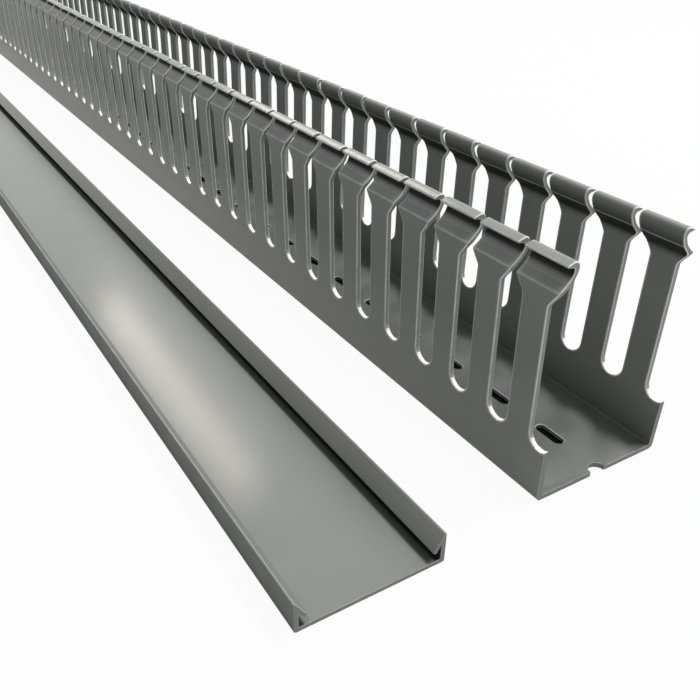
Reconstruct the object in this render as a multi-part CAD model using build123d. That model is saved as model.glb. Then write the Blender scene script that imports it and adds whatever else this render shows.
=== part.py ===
"""Slotted wiring duct: an extruded and punched base, with its clip-on cover lying upside down beside it.

Units are millimetres. The base stands on its floor with its length along X, and Z is up.
"""

import math
import os

from build123d import *

# Base, outside sizes
length = 1000.0
base_width = 40.0
base_height = 60.0
wall = 1.4
corner_radius = 1.2
wall_lean = 1.2

# Head of the wall: a shelf steps inwards, a web rises from it, and a lip turns back outwards
head_height = 6.7
head_thickness = 1.2
shelf_depth = 2.9
shelf_rise = 1.7
groove_depth = 3.9
lip_inset = 1.8
lip_thickness = 0.9
lip_slope = 1.0
top_bevel = 0.8

# Slots punched across both walls
slot_pitch = 14.6
slot_width = 6.8
slit_width = 2.6
slot_floor_height = 13.8
slot_floor_sides = 16
shoulder_height = 3.4
first_slot = 1.9

# Slots along the middle of the floor, and the round hole that each end is sawn through
floor_slot_pitch = 20.5
first_floor_slot = 16.5
floor_slot_length = 9.0
floor_slot_width = 3.1
screw_slot_step = 4
end_hole_diameter = 4.8

# Cover
cover_width = 36.5
cover_thickness = 1.2
flange_height = 8.0
barb_reach = 3.2
barb_drop = 4.3
barb_thickness = 0.9
barb_shoulder = 0.4

# Where the cover lies
cover_gap = 30.0
cover_lead = 3.6

# Distance that a cutting tool runs past the piece it cuts
overshoot = 5.0


def mirrored_outline(right_half):
    """A closed outline from the points of its right half, listed from the underside upwards."""
    left_half = [(-across, up) for across, up in reversed(right_half)]
    return right_half + left_half


def on_wall(inset, up):
    """A point at a depth behind the leaning outer face of the right-hand wall."""
    return (base_width / 2 + up * math.tan(math.radians(wall_lean)) - inset, up)


def base_section():
    """Floor, two leaning walls and their hooked heads, as one closed section."""
    bend = base_height - head_height
    lip_top = base_height - lip_slope
    lip_under = lip_top - lip_thickness
    head_depth = groove_depth + head_thickness
    right_half = [
        (base_width / 2, 0),
        on_wall(0, bend),
        on_wall(shelf_depth, bend + shelf_rise),
        on_wall(groove_depth, lip_under),
        on_wall(lip_inset, lip_under),
        on_wall(lip_inset, lip_top),
        on_wall(head_depth - top_bevel, base_height),
        on_wall(head_depth, base_height - top_bevel),
        on_wall(shelf_depth + head_thickness, bend + shelf_rise - head_thickness / 2),
        on_wall(wall, bend - wall / 2),
        on_wall(wall, wall),
    ]
    with BuildSketch(Plane.YZ) as section:
        with BuildLine():
            Polyline(*mirrored_outline(right_half), close=True)
        make_face()
        underside = section.vertices().group_by(Axis.Y)[0]
        fillet(underside, corner_radius)
    return section.sketch


def wall_plane(side):
    """Outer face of one wall: X along the duct, Y up the leaning wall. Side is 1 for the wall at +Y."""
    lean = math.radians(wall_lean)
    return Plane(
        origin=(0, side * base_width / 2, 0),
        x_dir=(1, 0, 0),
        z_dir=(0, -math.cos(lean), side * math.sin(lean)),
    )


def punch_outline():
    """One wall slot about X = 0: rounded floor, straight sides, shoulders, and a slit up through the head."""
    half_slot = slot_width / 2
    half_slit = slit_width / 2
    shoulder_top = (base_height - head_height) / math.cos(math.radians(wall_lean))
    shoulder_foot = shoulder_top - shoulder_height
    floor_centre = slot_floor_height + half_slot
    above = base_height + overshoot
    right_half = [
        (half_slot, floor_centre),
        (half_slot, shoulder_foot),
        (half_slit, shoulder_top),
        (half_slit, above),
    ]
    with BuildSketch() as outline:
        with BuildLine():
            Polyline(*mirrored_outline(right_half), close=True)
        make_face()
        with Locations((0, floor_centre)):
            RegularPolygon(half_slot, slot_floor_sides, major_radius=False, rotation=180 / slot_floor_sides)
    return outline.sketch


def slot_places():
    """X of every wall slot, counted from the near end at +X."""
    count = int((length - first_slot) / slot_pitch) + 1
    return [length / 2 - first_slot - slot_pitch * number for number in range(count)]


def wall_outline():
    """All slots of one wall, with the ends cleared of heads cut loose where an end passes through a slot."""
    places = slot_places()
    side_floor = slot_floor_height + slot_width / 2
    top = base_height + overshoot
    outline = Sketch() + [Pos(place, 0) * punch_outline() for place in places]
    for slot, end in ((places[0], length / 2), (places[-1], -length / 2)):
        if abs(end - slot) < slot_width:
            outer = end + math.copysign(overshoot, end)
            middle = Pos((slot + outer) / 2, (side_floor + top) / 2)
            outline += middle * Rectangle(abs(outer - slot), top - side_floor)
    return outline


def wall_punch(side):
    """The tool that cuts all slots of one wall, square to the wall."""
    reach = groove_depth + head_thickness + overshoot
    return extrude(wall_plane(side) * wall_outline(), amount=reach, both=True)


def floor_slot_outline(number):
    """One fixing slot of the floor. The slots that take screws have round ends, and the rest blunt ones."""
    if number % screw_slot_step == 0:
        return SlotOverall(floor_slot_length, floor_slot_width)
    slot = Rectangle(floor_slot_length, floor_slot_width)
    octagon_corner = floor_slot_width / (2 + math.sqrt(2))
    return chamfer(slot.vertices(), octagon_corner)


def floor_punch():
    """The tool for the row of floor slots and for the half holes at the ends."""
    count = int((length - first_floor_slot - floor_slot_length) / floor_slot_pitch) + 1
    first = length / 2 - first_floor_slot
    slots = [Pos(first - floor_slot_pitch * number, 0) * floor_slot_outline(number) for number in range(count)]
    end_holes = GridLocations(length, length, 2, 1) * Circle(end_hole_diameter / 2)
    return extrude(Sketch() + slots + end_holes, amount=wall + overshoot, both=True)


def duct_base():
    """The extruded channel with its walls and floor punched."""
    channel = extrude(base_section(), amount=length / 2, both=True)
    return channel - wall_punch(1) - wall_punch(-1) - floor_punch()


def cover_section():
    """Flat plate with two upstanding flanges, each with a barb that folds inwards and back down."""
    half = cover_width / 2
    run = barb_reach - barb_shoulder
    fold = math.atan2(barb_drop, run)
    tip = (half - barb_reach, flange_height - barb_drop)
    tip_back = (
        tip[0] + barb_thickness * math.sin(fold),
        tip[1] - barb_thickness * math.cos(fold),
    )
    inner_face = half - cover_thickness
    root = tip_back[1] + (inner_face - tip_back[0]) * math.tan(fold)
    right_half = [
        (half, 0),
        (half, flange_height),
        (half - barb_shoulder, flange_height),
        tip,
        tip_back,
        (inner_face, root),
        (inner_face, cover_thickness),
    ]
    with BuildSketch(Plane.YZ) as section:
        with BuildLine():
            Polyline(*mirrored_outline(right_half), close=True)
        make_face()
        underside = section.vertices().group_by(Axis.Y)[0]
        fillet(underside, cover_thickness)
    return section.sketch


def duct_cover():
    """The cover, taken off and lying with its flat face down, beside the base and a little ahead of it."""
    strip = extrude(cover_section(), amount=length / 2, both=True)
    aside = base_width / 2 + cover_gap + cover_width / 2
    return Pos(cover_lead, -aside, 0) * strip


os.makedirs("parts", exist_ok=True)
export_step(duct_base(), "parts/duct_base.step")
export_step(duct_cover(), "parts/duct_cover.step")
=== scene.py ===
"""Slotted wire duct: the punched PVC base and, beside it, its cover lying upside down.

Laid out as an add-on. Lengths are in metres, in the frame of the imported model: X along the duct, Z up.
"""

import math
import random

import bmesh
import bpy
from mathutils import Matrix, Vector


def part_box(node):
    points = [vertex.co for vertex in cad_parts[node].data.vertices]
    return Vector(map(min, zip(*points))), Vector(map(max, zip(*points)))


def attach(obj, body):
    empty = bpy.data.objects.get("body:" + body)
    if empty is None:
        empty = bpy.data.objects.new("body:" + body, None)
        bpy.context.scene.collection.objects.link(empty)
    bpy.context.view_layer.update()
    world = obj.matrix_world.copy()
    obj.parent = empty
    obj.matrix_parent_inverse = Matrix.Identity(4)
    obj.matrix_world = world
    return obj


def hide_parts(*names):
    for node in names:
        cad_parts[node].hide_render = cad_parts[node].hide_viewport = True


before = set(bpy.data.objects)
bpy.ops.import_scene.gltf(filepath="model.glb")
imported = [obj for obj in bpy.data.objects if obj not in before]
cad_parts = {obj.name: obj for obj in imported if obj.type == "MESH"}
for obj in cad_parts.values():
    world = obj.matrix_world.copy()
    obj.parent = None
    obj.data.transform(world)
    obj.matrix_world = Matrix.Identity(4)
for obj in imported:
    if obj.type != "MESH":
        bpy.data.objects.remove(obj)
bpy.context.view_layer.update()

bl_info = {
    "name": "Slotted wire duct",
    "version": (1, 0, 0),
    "blender": (4, 5, 0),
    "location": "View3D > Sidebar > Wire Duct",
    "description": "Builds a punched wire duct and its cover on a packed frame",
    "category": "Add Mesh",
}

MM = 0.001
BASE_LOW, BASE_HIGH = [Vector(corner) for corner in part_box("duct_base")]
COVER_LOW, COVER_HIGH = [Vector(corner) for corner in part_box("duct_cover")]

# Finishes, by their place in a piece's list of materials
DRAWN, PUNCHED, SHEARED, SAWN, DULL, GLOSSY = range(6)

# Distances at which points count as one, as level with each other, and as lying on a saw cut
MERGED = 0.002 * MM
LEVEL = 0.01 * MM
ON_CUT = 0.001 * MM

# Turns past which an edge is softened, or shaded as sharp, and turns that count as none
SOFTENED_TURN = math.radians(33)
SHARP_TURN = math.radians(32)
FLAT_TURN = math.radians(0.1)
STRAIGHT_TURN = math.radians(0.2)

# Steps of a rounded corner, a slot's round floor, a slot's shoulder and the rim of a floor hole
CORNER_STEPS = 4
SLOT_FLOOR_STEPS = 6
SHOULDER_STEPS = 5
HOLE_STEPS = 20

# Inner radius of a corner, as a share of the thickness
BASE_HOLLOW = 0.3
COVER_HOLLOW = 0.25

# Shoulders of a slot: how far under the bend their rows end, in wall thicknesses, and their curved share
SHOULDER_END = 1.3
SHOULDER_CURVE = 0.55

# Share of a slot's width, up from its floor, over which its cut side is torn pale and painted paler still
# as a reflection
PALE_SLOT_FLOOR = 0.28

# Rise above the bend from which a head is lifted out of line, and the start of the random draws
LIFTED_FROM = 4 * MM
SWAY_SEED = 7

# Edges of the base nearer than this to an end are softened in a second round
END_REACH = 2.5 * MM

# An edge that runs mostly along X and lies above this height is on a lip
ALONG_SHARE = 0.9
LIP_ABOVE = 10 * MM

# Painted shade on the base, from 0 to 1: on the trough's floor, in the inner corner and on the wall's
# inner side. Towards the head it grows per millimetre, from so many under the bend
TROUGH_PAINTED_SHADE = 0.2
CORNER_PAINTED_SHADE = 0.45
HEAD_PAINTED_SHADE_FROM = 2.8
HEAD_PAINTED_SHADE_GROWTH = 0.45

# Painted shade and painted shadow across the plate under a barb: distance from the flange's outside, in
# barb reaches, and amount; then the painted shade on the barb's top and tip
PLATE_PAINTED_SHADE = ((1.28, 0.0), (1.2, 0.2), (0.85, 0.3), (0.72, 1.0))
BARB_TOP_PAINTED_SHADE = 0.1
BARB_TIP_PAINTED_SHADE = 0.15

# Paleness, from none at 0 to full at 1: a pale line along the bend, painted light on the shelf, painted
# highlights along its crease and the ridge, and pale wear on flange sides, slot rims and softened edges.
# Only softened edges are worn by more than the last of these
BEND_PALENESS = 0.45
SHELF_PAINTED_LIGHT = 0.14
CREASE_PAINTED_HIGHLIGHT = 0.25
RIDGE_PAINTED_HIGHLIGHT = 0.3
FLANGE_WEAR = 0.35
RIM_WEAR = 0.4
LIP_EDGE_WEAR = 0.51
CUT_EDGE_WEAR = 1.0
EDGE_WEAR_PAST = 0.5

# Head of a finger, bend to lip's tip, in millimetres: outer and inner point (depth, rise), and the painted
# shade on them, dark in the groove and under the head's inner side
HEAD_SHAPE = (
    ((0.0, -0.5), (1.4, -1.5), (0.0, 0.65)),
    ((0.0, -0.15), (1.43, -1.05), (0.0, 0.9)),
    ((0.1, 0.1), (1.6, -0.62), (0.0, 1.0)),
    ((0.4, 0.33), (1.95, -0.15), (0.0, 1.0)),
    ((1.1, 0.88), (2.55, 0.5), (0.0, 1.0)),
    ((1.95, 1.6), (3.1, 1.08), (0.0, 1.0)),
    ((2.3, 1.95), (3.62, 1.65), (0.0, 1.0)),
    ((2.75, 2.48), (3.95, 2.1), (0.1, 0.9)),
    ((3.15, 3.05), (4.3, 2.75), (0.8, 0.75)),
    ((3.5, 3.75), (4.7, 3.65), (1.0, 0.58)),
    ((3.72, 4.4), (4.95, 4.5), (1.0, 0.38)),
    ((3.7, 4.85), (5.0, 5.2), (1.0, 0.15)),
    ((3.45, 5.15), (4.85, 5.85), (1.0, 0.0)),
    ((3.05, 5.3), (4.5, 6.35), (1.0, 0.0)),
    ((2.6, 5.36), (4.1, 6.6), (1.0, 0.0)),
    ((2.15, 5.45), (3.3, 6.63), (0.9, 0.0)),
    ((1.9, 5.5), (3.0, 6.55), (0.8, 0.0)),
    ((1.65, 5.55), (1.85, 6.16), (0.4, 0.0)),
    ((1.42, 5.63), (1.5, 6.04), (0.0, 0.0)),
)

# Zones of the head in the same millimetres: least and most depth, least and most rise
BEND_ZONE = (-0.3, 0.3, -0.2, 0.3)
SHELF_ZONE = (0.3, 2.8, -0.3, 2.5)
CREASE_ZONE = (1.9, 2.25, -0.3, 2.5)
RIDGE_ZONE = (3.65, 3.9, 1.7, 2.1)
GROOVE_ZONE = (3.1, 3.85, 3.0, 5.4)
UNDER_LIP_ZONE = (1.85, 3.1, 5.2, 5.6)
HOLLOW_ZONE = (1.35, 3.7, -1.4, 2.5)
LIP_ZONE = (0.0, 3.2, 5.9, 7.0)

# The shelf lies above a slanted line through the head, and the hollow behind the bend below another
SHELF_LINE = 0.6
HOLLOW_LINE = 1.2

# Zones of the cover in millimetres: least and most inset from the flange's outside, least and most height
UNDER_BARB_ZONE = (1.15, 2.45, 1.1, 4.8)
FLANGE_SIDE = 0.05

# Plastic: refraction, lines and clouds of drawn faces, grain of cut ones, patches of wear and of painted
# shade
PVC_IOR = 1.53
LINE_SCALE = (6.0, 900.0, 900.0)
CLOUD_SCALE = 60.0
GRAIN_SCALE = 1400.0
WEAR_SCALE = 260.0
PAINTED_SHADE_SCALE = 180.0
CLOUD_DEPTH = 0.08
GRAIN_DEPTH = 0.18
GRAIN_RELIEF = 0.3
CUT_SPECULAR = 0.3
RELIEF_HEIGHT = 0.2 * MM

# The middle of a noise, which is stretched over the range asked for
NOISE_LOW = 0.3
NOISE_HIGH = 0.7

# Pale rim on the wall's faces round every slot: where it starts to fade and where it ends
RIM_FADES = 0.35 * MM
RIM_ENDS = 0.6 * MM

# Floor of the stage: its half size, its distance under the part, and the painted shade beneath the base:
# how far in from the ends it stops, its half width and its colour
FLOOR_REACH = 8.0
FLOOR_DROP = 0.1 * MM
SHADE_INSET = 5 * MM
SHADE_HALF_WIDTH = 18 * MM
SHADE_COLOUR = (0.01, 0.01, 0.01)

# Strength of the white dome: as light on the part, and as it is seen
DOME_LIGHT = 0.3
DOME_SEEN = 1.0


def length_property(name, description, millimetres):
    """A length that a user may change, given in millimetres and kept in metres."""
    return bpy.props.FloatProperty(
        name=name, description=description, default=millimetres * MM, unit="LENGTH"
    )


def share_property(name, description, share):
    """A share from 0 to 1 that a user may change."""
    return bpy.props.FloatProperty(
        name=name, description=description, default=share, min=0.0, max=1.0
    )


def colour_property(name, description, colour):
    """A colour that a user may change."""
    return bpy.props.FloatVectorProperty(
        name=name, description=description, default=colour, size=3, min=0.0, max=1.0, subtype="COLOR"
    )


class DuctBaseSizes(bpy.types.PropertyGroup):
    """Sizes of the punched base."""

    width: length_property("Width", "Outside width of the floor", 40.0)
    wall: length_property("Wall", "Thickness of floor and walls", 1.4)
    lean: bpy.props.FloatProperty(
        name="Lean", description="Outward lean of both walls", default=math.radians(1.2), subtype="ANGLE"
    )
    corner: length_property("Corner", "Outer radius between floor and wall", 1.2)
    floor_strip: length_property("Floor strip", "Width of the floor that is made with the wall", 6.0)
    pitch: length_property("Pitch", "Distance from slot to slot", 14.6)
    first_slot: length_property("First slot", "Middle of the first slot from the near end", 1.9)
    slot_width: length_property("Slot width", "Width of a wall slot", 6.8)
    slot_floor: length_property("Slot floor", "Height of the lowest point of a wall slot", 13.8)
    slit: length_property("Slit", "Gap between the heads of two fingers", 1.8)
    bend: length_property("Bend", "Height at which the wall bends into the head", 53.3)
    shoulder: length_property("Shoulder", "Height over which a slot narrows to the slit", 3.9)
    edge: length_property("Edge", "Softened width of the punched and moulded edges", 0.22)
    fixing_pitch: length_property("Fixing pitch", "Distance between the slots of the floor", 20.5)
    fixing_first: length_property("First fixing", "Middle of the first floor slot from the near end", 16.5)
    fixing_length: length_property("Fixing length", "Length of a floor slot", 9.0)
    fixing_width: length_property("Fixing width", "Width of a floor slot", 3.1)
    end_hole: length_property("End hole", "Diameter of the hole that each end is sawn through", 4.8)
    sway: length_property("Sway", "Largest difference between one head and the next", 0.28)


class DuctCoverSizes(bpy.types.PropertyGroup):
    """Sizes of the cover."""

    plate: length_property("Plate", "Thickness of the plate", 1.2)
    corner: length_property("Corner", "Outer radius between plate and flange", 0.6)
    barb_reach: length_property("Barb reach", "How far a barb reaches in from the flange's outside", 3.2)
    barb_drop: length_property("Barb drop", "How far a barb comes back down", 4.3)
    barb: length_property("Barb", "Thickness of a barb", 0.9)
    barb_shoulder: length_property("Barb shoulder", "Flat width at the top of a flange", 0.4)
    edge: length_property("Edge", "Softened width of the edges", 0.12)


class DuctFinish(bpy.types.PropertyGroup):
    """Colours and gloss of the plastic."""

    base_colour: colour_property("Base colour", "Grey of the base", (0.212, 0.222, 0.205))
    cover_colour: colour_property("Cover colour", "Grey of the cover", (0.185, 0.194, 0.178))
    # The slots' floors are stress-whitened, and painted paler still as a reflection
    punched_colour: colour_property("Punched colour", "Pale grey of the slots' floors", (0.78, 0.79, 0.76))
    sheared_colour: colour_property("Sheared colour", "Grey of fingers' cut sides", (0.28, 0.29, 0.272))
    sawn_colour: colour_property("Sawn colour", "Grey of the sawn ends", (0.22, 0.23, 0.21))
    # Painted shade: this dark grey darkens the grooves, the inner corners, the trough and the hollows
    # under the barbs, where shade falls
    painted_shade_colour: colour_property("Painted shade colour", "Dark grey of dust in the grooves", (0.02, 0.021, 0.02))
    # Pale for rubbed edges, and for painted light and painted highlights on the head's shelf, crease and
    # ridge
    pale_wear_and_light_colour: colour_property("Wear and painted light colour", "Pale grey of rubbed edges", (0.85, 0.86, 0.83))
    base_roughness: share_property("Base roughness", "Roughness of the base", 0.36)
    cover_roughness: share_property("Cover roughness", "Roughness of the cover", 0.15)
    cover_wear: share_property("Cover wear", "Paleness of the cover's rubbed edges beside the base's", 0.4)


class StageSettings(bpy.types.PropertyGroup):
    """Floor, light and camera."""

    floor_colour: colour_property("Floor colour", "Colour of the floor", (0.55, 0.55, 0.55))
    whiteness: share_property("Whiteness", "Share of plain white in the floor as it is seen", 0.95)
    lens: bpy.props.FloatProperty(
        name="Lens", description="Focal length on a 36 mm sensor, in millimetres", default=41.17, min=10.0
    )
    camera_place: bpy.props.FloatVectorProperty(
        name="Camera place",
        description="Where the camera stands",
        default=(0.59556, -0.1342, 0.12666),
        subtype="TRANSLATION",
    )
    camera_turn: bpy.props.FloatVectorProperty(
        name="Camera turn",
        description="How the camera is turned",
        default=(math.radians(58.77), math.radians(-1.006), math.radians(57.848)),
        subtype="EULER",
    )


def only(kind, parts):
    """The parts of one kind in a list of mixed geometry."""
    return [part for part in parts if isinstance(part, kind)]


def in_zone(place, zone):
    """Whether a place lies between the least and the most of a zone, both ways."""
    across, up = place
    least_across, most_across, least_up, most_up = zone
    return least_across < across < most_across and least_up < up < most_up


def quarter_turn(steps):
    """Angles from 0 to 90 degrees, in so many steps."""
    return [math.radians(90.0 * step / steps) for step in range(steps + 1)]


def ribbon(bm, rows):
    """A strip of quads at X = 0, in an empty bmesh.

    Each row holds an outer and an inner point, as depth and height, and the painted shade on the two.
    """
    painted_shade = bm.verts.layers.float.new("painted_shade")
    made = bmesh.ops.create_grid(bm, x_segments=1, y_segments=len(rows) - 1, size=1.0)
    ladder = sorted(made["verts"], key=lambda vert: (round(vert.co.y, 5), vert.co.x))
    for number, (outer, inner, amounts) in enumerate(rows):
        pair = ladder[2 * number:2 * number + 2]
        for vert, point, amount in zip(pair, (outer, inner), amounts):
            vert.co = (0.0, *point)
            vert[painted_shade] = amount
    return bm.faces[:]


def thicken_along_x(bm, strip, low, high):
    """Pull a strip out along X into a closed bar from low to high. Returns the faces of its two ends."""
    for face in strip:
        for vert in face.verts:
            vert.co.x = low
    pulled = bmesh.ops.extrude_face_region(bm, geom=strip)
    for vert in only(bmesh.types.BMVert, pulled["geom"]):
        vert.co.x = high
    return strip + only(bmesh.types.BMFace, pulled["geom"])


def slot_heights(sizes):
    """Heights of the rows that shape a wall slot: its round floor, then its shoulders."""
    radius = sizes.slot_width / 2
    foot = sizes.bend - sizes.shoulder
    rise = sizes.shoulder - SHOULDER_END * sizes.wall
    heights = []
    for turn in quarter_turn(SLOT_FLOOR_STEPS):
        heights.append(sizes.slot_floor + radius - radius * math.cos(turn))
    for step in range(SHOULDER_STEPS + 1):
        heights.append(foot + rise * step / SHOULDER_STEPS)
    return heights


def wall_rows(sizes):
    """Points up the wall and their painted shade: floor strip, round corner and wall. Depth runs inwards.
    """
    wall = sizes.wall
    radius = sizes.corner
    hollow = BASE_HOLLOW * wall
    # Painted shade: the trough's floor, the inner corner and the wall's inner side towards the head are
    # darkened
    rows = [((sizes.floor_strip, 0.0), (sizes.floor_strip, wall), (0.0, TROUGH_PAINTED_SHADE))]
    for turn in quarter_turn(CORNER_STEPS):
        rows.append((
            (radius - radius * math.sin(turn), radius - radius * math.cos(turn)),
            (wall + hollow - hollow * math.sin(turn), wall + hollow - hollow * math.cos(turn)),
            (0.0, CORNER_PAINTED_SHADE),
        ))
    for height in slot_heights(sizes):
        under_head = (height - sizes.bend) / MM + HEAD_PAINTED_SHADE_FROM
        rows.append(((0.0, height), (wall, height), (0.0, max(HEAD_PAINTED_SHADE_GROWTH * under_head, 0.0))))
    return rows


def head_rows(sizes):
    """Points through the head and their painted shade: shelf, groove and lip."""
    rows = []
    for outer, inner, amounts in HEAD_SHAPE:
        points = [(depth * MM, sizes.bend + rise * MM) for depth, rise in (outer, inner)]
        rows.append((*points, amounts))
    return rows


def finger_half_width(sizes, height):
    """Half the width of a finger at a height: the pitch less the slot there."""
    radius = sizes.slot_width / 2
    centre = sizes.slot_floor + radius
    foot = sizes.bend - sizes.shoulder
    half_gap = radius
    if height <= sizes.slot_floor:
        half_gap = 0.0
    elif height < centre:
        half_gap = math.sqrt(max(radius ** 2 - (centre - height) ** 2, 0.0))
    elif height >= sizes.bend:
        half_gap = sizes.slit / 2
    elif height > foot:
        part = (height - foot) / sizes.shoulder
        curved = part ** 2 * (3 - 2 * part)
        narrowed = SHOULDER_CURVE * curved + (1 - SHOULDER_CURVE) * part
        half_gap = radius + (sizes.slit / 2 - radius) * narrowed
    return sizes.pitch / 2 - half_gap


def on_head(sizes, point):
    """A point's depth behind the wall's outer face and its rise above the bend, in millimetres."""
    return point.y / MM, (point.z - sizes.bend) / MM


def head_paleness(place):
    """How pale a face is painted: a pale line along the bend, painted light on the shelf, and painted
    highlights along its crease and the ridge.
    """
    depth, rise = place
    if in_zone(place, BEND_ZONE):
        return BEND_PALENESS
    if in_zone(place, SHELF_ZONE) and rise > depth - SHELF_LINE:
        return CREASE_PAINTED_HIGHLIGHT if in_zone(place, CREASE_ZONE) else SHELF_PAINTED_LIGHT
    if in_zone(place, RIDGE_ZONE):
        return RIDGE_PAINTED_HIGHLIGHT
    return 0.0


def head_finish(place):
    """The finish of a face: dull in the groove and behind the bend, where painted shade lies, and rubbed
    glossy on the lip.
    """
    depth, rise = place
    in_groove = in_zone(place, GROOVE_ZONE) or in_zone(place, UNDER_LIP_ZONE)
    in_hollow = in_zone(place, HOLLOW_ZONE) and rise < depth - HOLLOW_LINE
    if in_groove or in_hollow:
        return DULL
    return GLOSSY if in_zone(place, LIP_ZONE) else DRAWN


def wall_cell(sizes, rows):
    """One pitch of a wall about X = 0, shaped by the slot on each side.

    Y holds the depth behind the wall's outer face. Faces that would lie inside the base are left out.
    """
    bm = bmesh.new()
    worn_and_lit = bm.faces.layers.float.new("worn_and_lit")
    caps = thicken_along_x(bm, ribbon(bm, rows), -1.0, 1.0)
    for vert in bm.verts:
        vert.co.x *= finger_half_width(sizes, vert.co.z)
    # The lowest cut sides take the pale punched colour: stress-whitened, and painted paler still as a
    # reflection
    pale_top = sizes.slot_floor + PALE_SLOT_FLOOR * sizes.slot_width
    inside = []
    for face in bm.faces:
        top = max(vert.co.z for vert in face.verts)
        shallowest = min(vert.co.y for vert in face.verts)
        if shallowest > sizes.floor_strip - LEVEL:
            inside.append(face)
        elif face in caps:
            face.material_index = PUNCHED if top < pale_top else SHEARED
            if top < sizes.slot_floor + LEVEL:
                inside.append(face)
        else:
            place = on_head(sizes, face.calc_center_median())
            # Painted light on the shelf and painted highlights along its crease and ridge, as paleness
            face[worn_and_lit] = head_paleness(place)
            face.material_index = head_finish(place)
    bmesh.ops.delete(bm, geom=inside, context="FACES")
    cell = bpy.data.meshes.new("wall_cell")
    bm.to_mesh(cell)
    bm.free()
    return cell


def add_cell(bm, sizes, cell, middle, side, chance):
    """Set one wall cell into the base, on the wall at +Y or -Y, with its head a little out of line."""
    known = set(bm.verts)
    bm.from_mesh(cell)
    out = sizes.sway * chance.uniform(-1.0, 0.0)
    along = sizes.sway / 2 * chance.uniform(-1.0, 1.0)
    lift = sizes.sway / 2 * chance.uniform(-1.0, 0.0)
    slant = math.tan(sizes.lean)
    rise = sizes.bend - sizes.slot_floor
    for vert in bm.verts:
        if vert in known:
            continue
        place, depth, height = vert.co
        share = max((height - sizes.slot_floor) / rise, 0.0)
        across = sizes.width / 2 + height * slant - depth + out * share ** 2
        height += lift if height > sizes.bend + LIFTED_FROM else 0.0
        vert.co = (middle + place + along * share, side * across, height)


def slot_middles(sizes):
    """X of the middle of every wall slot, from the near end."""
    count = int((BASE_HIGH.x - BASE_LOW.x - sizes.first_slot) / sizes.pitch) + 1
    return [BASE_HIGH.x - sizes.first_slot - sizes.pitch * number for number in range(count)]


def fixing_middles(sizes):
    """X of the middle of every floor slot, from the near end."""
    room = BASE_HIGH.x - BASE_LOW.x - sizes.fixing_first - sizes.fixing_length
    count = int(room / sizes.fixing_pitch) + 1
    return [BASE_HIGH.x - sizes.fixing_first - sizes.fixing_pitch * number for number in range(count)]


def add_wall(bm, sizes, side, chance):
    """One wall: a finger between each two slots, and low stumps where the ends are sawn through a slot."""
    rows = wall_rows(sizes)
    below_shoulders = rows[:-(SHOULDER_STEPS + 1)]
    stump = wall_cell(sizes, below_shoulders)
    finger = wall_cell(sizes, rows + head_rows(sizes))
    middles = slot_middles(sizes)
    for middle in middles[:-1]:
        add_cell(bm, sizes, finger, middle - sizes.pitch / 2, side, chance)
    add_cell(bm, sizes, stump, middles[0] + sizes.pitch / 2, side, chance)
    add_cell(bm, sizes, stump, middles[-1] - sizes.pitch / 2, side, chance)
    bpy.data.meshes.remove(finger)
    bpy.data.meshes.remove(stump)


def add_hole(bm, sizes, middle, width, length):
    """The wall of one floor hole: a circle pulled apart into a slot, and drawn down through the floor."""
    painted_shade = bm.verts.layers.float["painted_shade"]
    made = bmesh.ops.create_circle(bm, segments=HOLE_STEPS, radius=width / 2)
    for vert in made["verts"]:
        # Painted shade round the hole's top, as on the trough's floor
        vert[painted_shade] = TROUGH_PAINTED_SHADE
        turned = Vector((vert.co.y, vert.co.x, 0.0))
        stretch = math.copysign((length - width) / 2, turned.x)
        vert.co = (middle + turned.x + stretch, turned.y, sizes.wall)
    rim = list({edge for vert in made["verts"] for edge in vert.link_edges})
    drawn = bmesh.ops.extrude_edge_only(bm, edges=rim)
    for vert in only(bmesh.types.BMVert, drawn["geom"]):
        vert.co.z = 0.0
        vert[painted_shade] = 0.0
    for face in {face for edge in rim for face in edge.link_faces}:
        face.material_index = SAWN


def fill_floor(bm, sizes, height, normal):
    """Close the top or the underside of the floor, between the two wall strips and round the holes."""
    strip = sizes.width / 2 - sizes.floor_strip + LEVEL + height * math.tan(sizes.lean)
    border = []
    for edge in bm.edges:
        level = all(abs(vert.co.z - height) < LEVEL and abs(vert.co.y) < strip for vert in edge.verts)
        if level and edge.is_boundary:
            border.append(edge)
    corners = {vert for edge in border for vert in edge.verts}
    ends = [vert for vert in corners if sum(edge in border for edge in vert.link_edges) == 1]
    for group in (min, max):
        edge_x = group(vert.co.x for vert in ends)
        pair = [vert for vert in ends if abs(vert.co.x - edge_x) < LEVEL]
        border.append(bm.edges.new(pair))
    filled = bmesh.ops.triangle_fill(bm, edges=border, use_beauty=True, normal=normal)
    if not only(bmesh.types.BMFace, filled["geom"]):
        raise RuntimeError("the floor of the base could not be filled")


def saw_off(bm, place, normal):
    """Cut the piece off square at a place along X, and close the cut."""
    bmesh.ops.bisect_plane(
        bm,
        geom=bm.verts[:] + bm.edges[:] + bm.faces[:],
        dist=ON_CUT,
        plane_co=(place, 0.0, 0.0),
        plane_no=normal,
        clear_outer=True,
    )
    open_edges = [edge for edge in bm.edges if edge.is_boundary]
    closed = bmesh.ops.holes_fill(bm, edges=open_edges, sides=0)
    for face in closed["faces"]:
        face.material_index = SAWN
    on_cut = [vert for vert in bm.verts if abs(vert.co.x - place) < ON_CUT]
    flat_edges = []
    for edge in {edge for vert in on_cut for edge in vert.link_edges}:
        if abs(edge.calc_face_angle(1.0)) < FLAT_TURN:
            flat_edges.append(edge)
    bmesh.ops.dissolve_limit(bm, angle_limit=STRAIGHT_TURN, verts=on_cut, edges=flat_edges)


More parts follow.
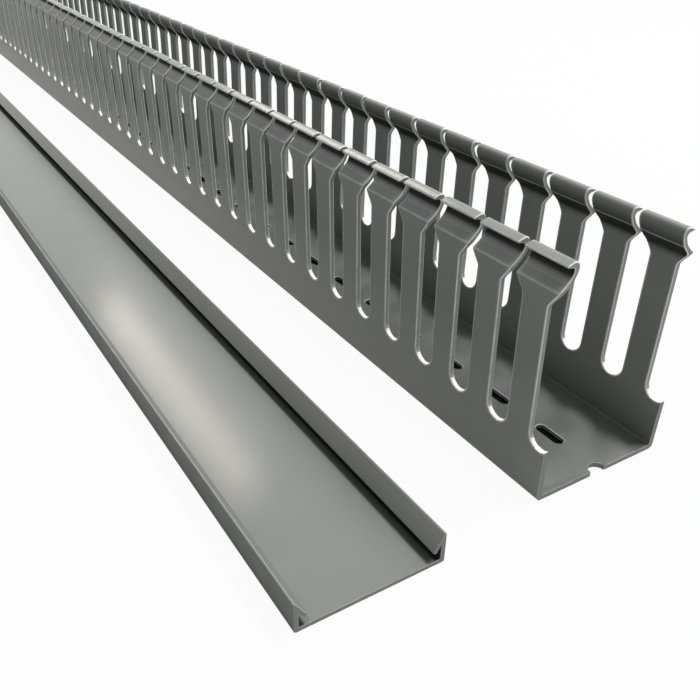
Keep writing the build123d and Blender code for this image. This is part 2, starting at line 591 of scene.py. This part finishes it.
def edge_wear(face):
    """How pale a softened edge is worn: a cut edge fully, and an edge along a lip less."""
    longest = max(face.edges, key=lambda edge: edge.calc_length())
    run = abs(longest.verts[0].co.x - longest.verts[1].co.x)
    along = run > ALONG_SHARE * longest.calc_length()
    on_lip = along and face.calc_center_median().z > LIP_ABOVE
    return LIP_EDGE_WEAR if on_lip else CUT_EDGE_WEAR


def soften_edges(bm, width, reach):
    """Bevel the outward edges that turn sharply, and mark the new faces as worn.

    The edges that lie within a reach along X go first, because the short edges past it allow only a
    narrow bevel.
    """
    worn_and_lit = bm.faces.layers.float["worn_and_lit"]
    for within in (True, False):
        sharp = []
        for edge in bm.edges:
            turned = len(edge.link_faces) == 2 and edge.calc_face_angle(0.0) > SOFTENED_TURN
            placed = max(abs(vert.co.x) for vert in edge.verts) < reach
            softened = any(face[worn_and_lit] > EDGE_WEAR_PAST for face in edge.link_faces)
            if turned and edge.is_convex and placed == within and not softened:
                sharp.append(edge)
        result = bmesh.ops.bevel(
            bm,
            geom=sharp,
            offset=width,
            offset_type="OFFSET",
            affect="EDGES",
            segments=1,
            profile=0.5,
            material=-1,
            clamp_overlap=True,
        )
        for face in result["faces"]:
            face[worn_and_lit] = edge_wear(face)


def finished_piece(name, bm, materials):
    """Turn a bmesh into an object with smooth faces and sharp edges, and tie it to the frame."""
    open_edges = [edge for edge in bm.edges if not edge.is_manifold]
    if open_edges:
        raise RuntimeError("%s is not closed: %d open edges" % (name, len(open_edges)))
    bmesh.ops.recalc_face_normals(bm, faces=bm.faces[:])
    for face in bm.faces:
        face.smooth = True
    mesh = bpy.data.meshes.new(name)
    bm.to_mesh(mesh)
    bm.free()
    mesh.set_sharp_from_angle(angle=SHARP_TURN)
    for material in materials:
        mesh.materials.append(material)
    piece = bpy.data.objects.new(name, mesh)
    bpy.context.scene.collection.objects.link(piece)
    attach(piece, "root")
    return piece


def base_mesh(sizes):
    """The whole base as one closed bmesh."""
    bm = bmesh.new()
    bm.faces.layers.float.new("worn_and_lit")
    bm.verts.layers.float.new("painted_shade")
    chance = random.Random(SWAY_SEED)
    for side in (1, -1):
        add_wall(bm, sizes, side, chance)
    bmesh.ops.remove_doubles(bm, verts=bm.verts[:], dist=MERGED)
    for middle in fixing_middles(sizes):
        add_hole(bm, sizes, middle, sizes.fixing_width, sizes.fixing_length)
    for end in (BASE_HIGH.x, BASE_LOW.x):
        add_hole(bm, sizes, end, sizes.end_hole, sizes.end_hole)
    fill_floor(bm, sizes, sizes.wall, (0.0, 0.0, 1.0))
    fill_floor(bm, sizes, 0.0, (0.0, 0.0, -1.0))
    saw_off(bm, BASE_HIGH.x, (1.0, 0.0, 0.0))
    saw_off(bm, BASE_LOW.x, (-1.0, 0.0, 0.0))
    bmesh.ops.recalc_face_normals(bm, faces=bm.faces[:])
    soften_edges(bm, sizes.edge, BASE_HIGH.x - END_REACH)
    return bm


def cover_rows(sizes, half, height):
    """Points across the right half of the cover and their painted shade, from its middle out to the barb's
    tip.
    """
    plate = sizes.plate
    run = sizes.barb_reach - sizes.barb_shoulder
    fold = math.atan2(sizes.barb_drop, run)
    tip = Vector((half - sizes.barb_reach, height - sizes.barb_drop))
    back = tip + sizes.barb * Vector((math.sin(fold), -math.cos(fold)))
    corner = half - plate
    root = (corner, back.y + (corner - back.x) * math.tan(fold))
    radius = sizes.corner
    hollow = COVER_HOLLOW * plate
    rows = [((0.0, 0.0), (0.0, plate), (0.0, 0.0))]
    # Painted shade and painted shadow on the plate beside and under the barb, and in the hollow inside the
    # flange
    for reaches, amount in PLATE_PAINTED_SHADE:
        across = half - reaches * sizes.barb_reach
        rows.append(((across, 0.0), (across, plate), (0.0, amount)))
    for turn in quarter_turn(CORNER_STEPS):
        rows.append((
            (half - radius + radius * math.sin(turn), radius - radius * math.cos(turn)),
            (corner - hollow + hollow * math.sin(turn), plate + hollow - hollow * math.cos(turn)),
            (0.0, 1.0),
        ))
    rows += [
        ((half, root[1]), root, (0.0, 1.0)),
        ((half, height), root, (0.0, 1.0)),
        ((half - sizes.barb_shoulder, height), root, (BARB_TOP_PAINTED_SHADE, 1.0)),
        (tuple(tip), tuple(back), (BARB_TIP_PAINTED_SHADE, 1.0)),
    ]
    return rows


def cover_mesh(sizes):
    """The cover as one closed bmesh, flat face down, dull on its flange sides and under its barbs, with
    painted shade under its barbs.
    """
    bm = bmesh.new()
    worn_and_lit = bm.faces.layers.float.new("worn_and_lit")
    half = (COVER_HIGH.y - COVER_LOW.y) / 2
    rows = cover_rows(sizes, half, COVER_HIGH.z)
    caps = thicken_along_x(bm, ribbon(bm, rows), COVER_LOW.x, COVER_HIGH.x)
    for face in bm.faces:
        middle = face.calc_center_median()
        inset = (half - middle.y) / MM
        if face in caps:
            face.material_index = SAWN
        elif in_zone((inset, middle.z / MM), UNDER_BARB_ZONE):
            face.material_index = DULL
        elif inset < FLANGE_SIDE:
            face.material_index = DULL
            face[worn_and_lit] = FLANGE_WEAR
    bmesh.ops.remove_doubles(bm, verts=bm.verts[:], dist=MERGED)
    split = [face for face in bm.faces if all(abs(vert.co.y) < ON_CUT for vert in face.verts)]
    bmesh.ops.delete(bm, geom=split, context="FACES")
    everything = bm.verts[:] + bm.edges[:] + bm.faces[:]
    bmesh.ops.mirror(bm, geom=everything, axis="Y", merge_dist=MERGED)
    bmesh.ops.remove_doubles(bm, verts=bm.verts[:], dist=MERGED)
    bmesh.ops.translate(bm, verts=bm.verts[:], vec=(0.0, (COVER_HIGH.y + COVER_LOW.y) / 2, 0.0))
    bmesh.ops.recalc_face_normals(bm, faces=bm.faces[:])
    soften_edges(bm, sizes.edge, COVER_HIGH.x + MM)
    return bm


def new_material(name):
    """A new material, its nodes and its links."""
    material = bpy.data.materials.new(name)
    material.use_nodes = True
    return material, material.node_tree.nodes, material.node_tree.links


def noise(nodes, links, place, scale, detail):
    """A noise texture on a set of coordinates. Returns its value."""
    texture = nodes.new("ShaderNodeTexNoise")
    texture.inputs["Scale"].default_value = scale
    texture.inputs["Detail"].default_value = detail
    links.new(place, texture.inputs["Vector"])
    return texture.outputs["Fac"]


def blend(nodes, links, share, first, second):
    """Mix two colours by a share. Returns the mixed colour."""
    mix = nodes.new("ShaderNodeMix")
    mix.data_type = "RGBA"
    for socket, colour in ((mix.inputs[6], first), (mix.inputs[7], second)):
        if isinstance(colour, bpy.types.NodeSocket):
            links.new(colour, socket)
        else:
            socket.default_value = (*colour, 1.0)
    links.new(share, mix.inputs[0])
    return mix.outputs[2]


def shade(colour, factor):
    """A colour made lighter or darker."""
    return tuple(min(factor * part, 1.0) for part in colour)


def reckon(nodes, links, operation, *values):
    """One step of arithmetic on numbers or node values. Returns its result."""
    step = nodes.new("ShaderNodeMath")
    step.operation = operation
    for socket, value in zip(step.inputs, values):
        if isinstance(value, bpy.types.NodeSocket):
            links.new(value, socket)
        else:
            socket.default_value = value
    return step.outputs["Value"]


def ramp(nodes, links, value, start, end, low, high):
    """Lead a value from low to high between a start and an end. Returns the new value."""
    slope = nodes.new("ShaderNodeMapRange")
    slope.inputs["From Min"].default_value = start
    slope.inputs["From Max"].default_value = end
    slope.inputs["To Min"].default_value = low
    slope.inputs["To Max"].default_value = high
    links.new(value, slope.inputs["Value"])
    return slope.outputs["Result"]


def spread(nodes, links, value, low, high):
    """Stretch the middle of a noise over a range. Returns the new value."""
    return ramp(nodes, links, value, NOISE_LOW, NOISE_HIGH, low, high)


def slot_rims(nodes, links, place, sizes):
    """A thin line on the wall's faces round every slot and slit, where the punch has rubbed them pale."""
    parts = nodes.new("ShaderNodeSeparateXYZ")
    links.new(place, parts.inputs["Vector"])
    height = parts.outputs["Z"]
    radius = sizes.slot_width / 2
    along = reckon(nodes, links, "SUBTRACT", parts.outputs["X"], BASE_HIGH.x - sizes.first_slot)
    aside = reckon(nodes, links, "PINGPONG", along, sizes.pitch / 2)
    below = reckon(nodes, links, "SUBTRACT", sizes.slot_floor + radius, height)
    below = reckon(nodes, links, "MAXIMUM", below, 0.0)
    aside = reckon(nodes, links, "MULTIPLY", aside, aside)
    below = reckon(nodes, links, "MULTIPLY", below, below)
    distance = reckon(nodes, links, "SQRT", reckon(nodes, links, "ADD", aside, below))
    foot = sizes.bend - sizes.shoulder
    half_gap = ramp(nodes, links, height, foot, sizes.bend, radius, sizes.slit / 2)
    beyond = reckon(nodes, links, "SUBTRACT", distance, half_gap)
    return ramp(nodes, links, beyond, RIM_FADES, RIM_ENDS, RIM_WEAR, 0.0)


def marked(nodes, name):
    """The amount that a mesh holds under a name."""
    attribute = nodes.new("ShaderNodeAttribute")
    attribute.attribute_name = name
    return attribute.outputs["Fac"]


def wear_and_light_share(nodes, links, place, sizes=None):
    """How pale each face is from wear and painted light, in patches. With sizes given, the slots' rims are
    worn too.
    """
    amount = marked(nodes, "worn_and_lit")
    if sizes:
        amount = reckon(nodes, links, "MAXIMUM", amount, slot_rims(nodes, links, place, sizes))
    patches = spread(nodes, links, noise(nodes, links, place, WEAR_SCALE, detail=3.0), low=0.6, high=1.0)
    return reckon(nodes, links, "MULTIPLY", amount, patches)


def painted_shade_share(nodes, links, place):
    """How much painted shade lies on each point, a little uneven."""
    patches = spread(nodes, links, noise(nodes, links, place, PAINTED_SHADE_SCALE, detail=3.0), low=0.93, high=1.0)
    return reckon(nodes, links, "MULTIPLY", marked(nodes, "painted_shade"), patches)


def raise_grain(nodes, links, shader, height, strength):
    """Relief from a noise value."""
    relief = nodes.new("ShaderNodeBump")
    relief.inputs["Strength"].default_value = strength
    relief.inputs["Distance"].default_value = RELIEF_HEIGHT
    links.new(height, relief.inputs["Height"])
    links.new(relief.outputs["Normal"], shader.inputs["Normal"])


def plastic(name, colour, painted_shade, pale, roughness, specular, streak_depth, streak_gloss, sizes=None):
    """Rigid PVC as it leaves the extruder: fine lines along X, faint clouds, painted shade in creases,
    pale edges and painted highlights.
    """
    material, nodes, links = new_material(name)
    shader = nodes["Principled BSDF"]
    shader.inputs["IOR"].default_value = PVC_IOR
    shader.inputs["Specular IOR Level"].default_value = specular
    place = nodes.new("ShaderNodeTexCoord").outputs["Object"]

    stretched = nodes.new("ShaderNodeMapping")
    stretched.inputs["Scale"].default_value = LINE_SCALE
    links.new(place, stretched.inputs["Vector"])
    lines = noise(nodes, links, stretched.outputs["Vector"], scale=1.0, detail=3.0)
    clouds = noise(nodes, links, place, CLOUD_SCALE, detail=4.0)

    tone = blend(nodes, links, clouds, shade(colour, 1 - CLOUD_DEPTH), shade(colour, 1 + CLOUD_DEPTH))
    # Painted shade darkens the tone by the mesh's amount; wear and painted light then make it paler
    painted_shade_tone = blend(nodes, links, painted_shade_share(nodes, links, place), tone, painted_shade)
    worn_and_lit = blend(nodes, links, wear_and_light_share(nodes, links, place, sizes), painted_shade_tone, pale)
    links.new(worn_and_lit, shader.inputs["Base Color"])
    gloss = spread(nodes, links, lines, roughness - streak_gloss, roughness + streak_gloss)
    links.new(gloss, shader.inputs["Roughness"])
    raise_grain(nodes, links, shader, lines, streak_depth)
    return material


def cut_plastic(name, colour, pale, roughness):
    """The same PVC where it was punched or sawn: torn into fine grain, and pale along its edges."""
    material, nodes, links = new_material(name)
    shader = nodes["Principled BSDF"]
    shader.inputs["Roughness"].default_value = roughness
    shader.inputs["IOR"].default_value = PVC_IOR
    shader.inputs["Specular IOR Level"].default_value = CUT_SPECULAR
    place = nodes.new("ShaderNodeTexCoord").outputs["Object"]
    grain = noise(nodes, links, place, GRAIN_SCALE, detail=3.0)
    tone = blend(nodes, links, grain, shade(colour, 1 - GRAIN_DEPTH), shade(colour, 1 + GRAIN_DEPTH))
    worn_and_lit = blend(nodes, links, wear_and_light_share(nodes, links, place), tone, pale)
    links.new(worn_and_lit, shader.inputs["Base Color"])
    raise_grain(nodes, links, shader, grain, GRAIN_RELIEF)
    return material


def other_finishes(piece, finish, colour, pale):
    """The finishes of a piece's punched, sheared, sawn and dull faces, in the order of their numbers."""
    dull = plastic(
        piece + "_dull", colour, finish.painted_shade_colour, pale,
        roughness=0.7, specular=0.06, streak_depth=0.03, streak_gloss=0.03,
    )
    return (
        cut_plastic(piece + "_punched", finish.punched_colour, pale, roughness=0.5),
        cut_plastic(piece + "_sheared", finish.sheared_colour, pale, roughness=0.55),
        cut_plastic(piece + "_sawn", finish.sawn_colour, pale, roughness=0.6),
        dull,
    )


class DUCT_OT_base(bpy.types.Operator):
    """Build the punched base in place of its CAD solid"""

    bl_idname = "duct.base"
    bl_label = "Duct Base"

    def execute(self, context):
        sizes = context.scene.duct_base_sizes
        finish = context.scene.duct_finish
        pale = finish.pale_wear_and_light_colour
        colour = finish.base_colour
        drawn = plastic(
            "base_drawn", colour, finish.painted_shade_colour, pale,
            roughness=finish.base_roughness, specular=0.28, streak_depth=0.03, streak_gloss=0.03,
            sizes=sizes,
        )
        glossy = plastic(
            "base_glossy", colour, finish.painted_shade_colour, pale,
            roughness=0.16, specular=0.8, streak_depth=0.01, streak_gloss=0.03,
        )
        finishes = (drawn, *other_finishes("base", finish, colour, pale), glossy)
        piece = finished_piece("duct_base_detailed", base_mesh(sizes), finishes)
        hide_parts("duct_base")
        return {"FINISHED"}


class DUCT_OT_cover(bpy.types.Operator):
    """Build the cover in place of its CAD solid"""

    bl_idname = "duct.cover"
    bl_label = "Duct Cover"

    def execute(self, context):
        sizes = context.scene.duct_cover_sizes
        finish = context.scene.duct_finish
        pale = shade(finish.pale_wear_and_light_colour, finish.cover_wear)
        colour = finish.cover_colour
        drawn = plastic(
            "cover_drawn", colour, finish.painted_shade_colour, pale,
            roughness=finish.cover_roughness, specular=0.45, streak_depth=0.001, streak_gloss=0.01,
        )
        finishes = (drawn, *other_finishes("cover", finish, colour, pale))
        piece = finished_piece("duct_cover_detailed", cover_mesh(sizes), finishes)
        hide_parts("duct_cover")
        return {"FINISHED"}


def seen_ray(nodes, links):
    """One for a ray from the camera or in a reflection, and nothing for the rest."""
    path = nodes.new("ShaderNodeLightPath")
    return reckon(nodes, links, "MAXIMUM", path.outputs["Is Camera Ray"], path.outputs["Is Glossy Ray"])


def painted_shade_under_base(nodes, links):
    """One where the base lies on the floor, painted dark as shade because no light comes under it, and
    nothing elsewhere.
    """
    place = nodes.new("ShaderNodeTexCoord")
    parts = nodes.new("ShaderNodeSeparateXYZ")
    links.new(place.outputs["Object"], parts.inputs["Vector"])
    covered = []
    for name, reach in (("X", BASE_HIGH.x - SHADE_INSET), ("Y", SHADE_HALF_WIDTH)):
        distance = reckon(nodes, links, "ABSOLUTE", parts.outputs[name])
        covered.append(reckon(nodes, links, "LESS_THAN", distance, reach))
    return reckon(nodes, links, "MULTIPLY", *covered)


def floor_material(colour, whiteness):
    """Pale floor: white to the camera and in reflections, with the object's shadow left on it and painted
    shade, near-black, under the base.
    """
    material, nodes, links = new_material("pale_floor")
    nodes.remove(nodes["Principled BSDF"])
    shaded = painted_shade_under_base(nodes, links)
    paint = nodes.new("ShaderNodeBsdfDiffuse")
    # Painted shade: the floor under the base is painted near-black
    links.new(blend(nodes, links, shaded, colour, SHADE_COLOUR), paint.inputs["Color"])
    glow = nodes.new("ShaderNodeEmission")
    glow.inputs["Color"].default_value = (1.0, 1.0, 1.0, 1.0)
    unshaded = reckon(nodes, links, "SUBTRACT", seen_ray(nodes, links), shaded)
    lit = reckon(nodes, links, "MAXIMUM", unshaded, 0.0)
    mix = nodes.new("ShaderNodeMixShader")
    links.new(reckon(nodes, links, "MULTIPLY", lit, whiteness), mix.inputs["Fac"])
    links.new(paint.outputs["BSDF"], mix.inputs[1])
    links.new(glow.outputs["Emission"], mix.inputs[2])
    links.new(mix.outputs["Shader"], nodes["Material Output"].inputs["Surface"])
    return material


def add_floor(settings):
    """The pale floor that the part lies on."""
    bm = bmesh.new()
    bmesh.ops.create_grid(bm, x_segments=1, y_segments=1, size=FLOOR_REACH)
    bmesh.ops.translate(bm, verts=bm.verts[:], vec=(0.0, 0.0, -FLOOR_DROP))
    mesh = bpy.data.meshes.new("pale_floor")
    bm.to_mesh(mesh)
    bm.free()
    mesh.materials.append(floor_material(settings.floor_colour, settings.whiteness))
    ground = bpy.data.objects.new("pale_floor", mesh)
    bpy.context.scene.collection.objects.link(ground)


def add_dome():
    """A white dome, dim as a light and bright as it is seen."""
    world = bpy.data.worlds.new("studio")
    world.use_nodes = True
    nodes = world.node_tree.nodes
    links = world.node_tree.links
    background = nodes["Background"]
    background.inputs["Color"].default_value = (1.0, 1.0, 1.0, 1.0)
    strength = ramp(nodes, links, seen_ray(nodes, links), 0.0, 1.0, DOME_LIGHT, DOME_SEEN)
    links.new(strength, background.inputs["Strength"])
    bpy.context.scene.world = world


def add_lamp(name, place, target, width, height, power, colour):
    """A soft light, wide and high by the two sizes, aimed at a point."""
    lamp = bpy.data.lights.new(name, "AREA")
    lamp.shape = "RECTANGLE"
    lamp.size = width
    lamp.size_y = height
    lamp.energy = power
    lamp.color = colour
    holder = bpy.data.objects.new(name, lamp)
    holder.location = place
    holder.rotation_euler = (Vector(target) - Vector(place)).to_track_quat("-Z", "Y").to_euler()
    bpy.context.scene.collection.objects.link(holder)


def add_camera(settings):
    """The camera at the photograph's viewing angle."""
    lens = bpy.data.cameras.new("camera")
    lens.lens = settings.lens
    lens.sensor_width = 36.0
    lens.clip_start = 0.01
    lens.clip_end = 60.0
    holder = bpy.data.objects.new("camera", lens)
    holder.location = settings.camera_place
    holder.rotation_euler = settings.camera_turn
    bpy.context.scene.collection.objects.link(holder)
    bpy.context.scene.camera = holder


class DUCT_OT_stage(bpy.types.Operator):
    """Set the floor, the soft light and the camera"""

    bl_idname = "duct.stage"
    bl_label = "Duct Stage"

    def execute(self, context):
        settings = context.scene.duct_stage
        add_floor(settings)
        add_dome()
        add_lamp(
            "overhead", place=(0.5, 0.66, 1.25), target=(0.35, 0.0, 0.0),
            width=0.9, height=0.35, power=28.0, colour=(1.0, 1.0, 1.0),
        )
        add_lamp(
            "strip", place=(-0.78, 0.3, 0.8), target=(-0.78, 0.3, 0.0),
            width=0.8, height=0.06, power=1.1, colour=(1.0, 0.91, 0.82),
        )
        add_camera(settings)
        context.scene.view_settings.view_transform = "Standard"
        return {"FINISHED"}


class DUCT_PT_panel(bpy.types.Panel):
    """Sizes and colours of the duct, and the buttons that build it"""

    bl_label = "Wire Duct"
    bl_idname = "DUCT_PT_panel"
    bl_space_type = "VIEW_3D"
    bl_region_type = "UI"
    bl_category = "Wire Duct"

    def draw(self, context):
        for name, operator in PANEL_PARTS:
            box = self.layout.box()
            settings = getattr(context.scene, name)
            for key in settings.__annotations__:
                box.prop(settings, key)
            if operator:
                box.operator(operator)


PANEL_PARTS = (
    ("duct_finish", None),
    ("duct_base_sizes", "duct.base"),
    ("duct_cover_sizes", "duct.cover"),
    ("duct_stage", "duct.stage"),
)
GROUPS = {
    "duct_base_sizes": DuctBaseSizes,
    "duct_cover_sizes": DuctCoverSizes,
    "duct_finish": DuctFinish,
    "duct_stage": StageSettings,
}
CLASSES = (*GROUPS.values(), DUCT_OT_base, DUCT_OT_cover, DUCT_OT_stage, DUCT_PT_panel)


def register():
    """Make the classes and the scene's settings known."""
    for item in CLASSES:
        bpy.utils.register_class(item)
    for name, group in GROUPS.items():
        setattr(bpy.types.Scene, name, bpy.props.PointerProperty(type=group))


def unregister():
    """Take the settings and the classes away again."""
    for name in GROUPS:
        delattr(bpy.types.Scene, name)
    for item in reversed(CLASSES):
        bpy.utils.unregister_class(item)


def main():
    """Build both pieces and the stage."""
    register()
    bpy.ops.duct.base()
    bpy.ops.duct.cover()
    bpy.ops.duct.stage()


if __name__ == "__main__":
    main()
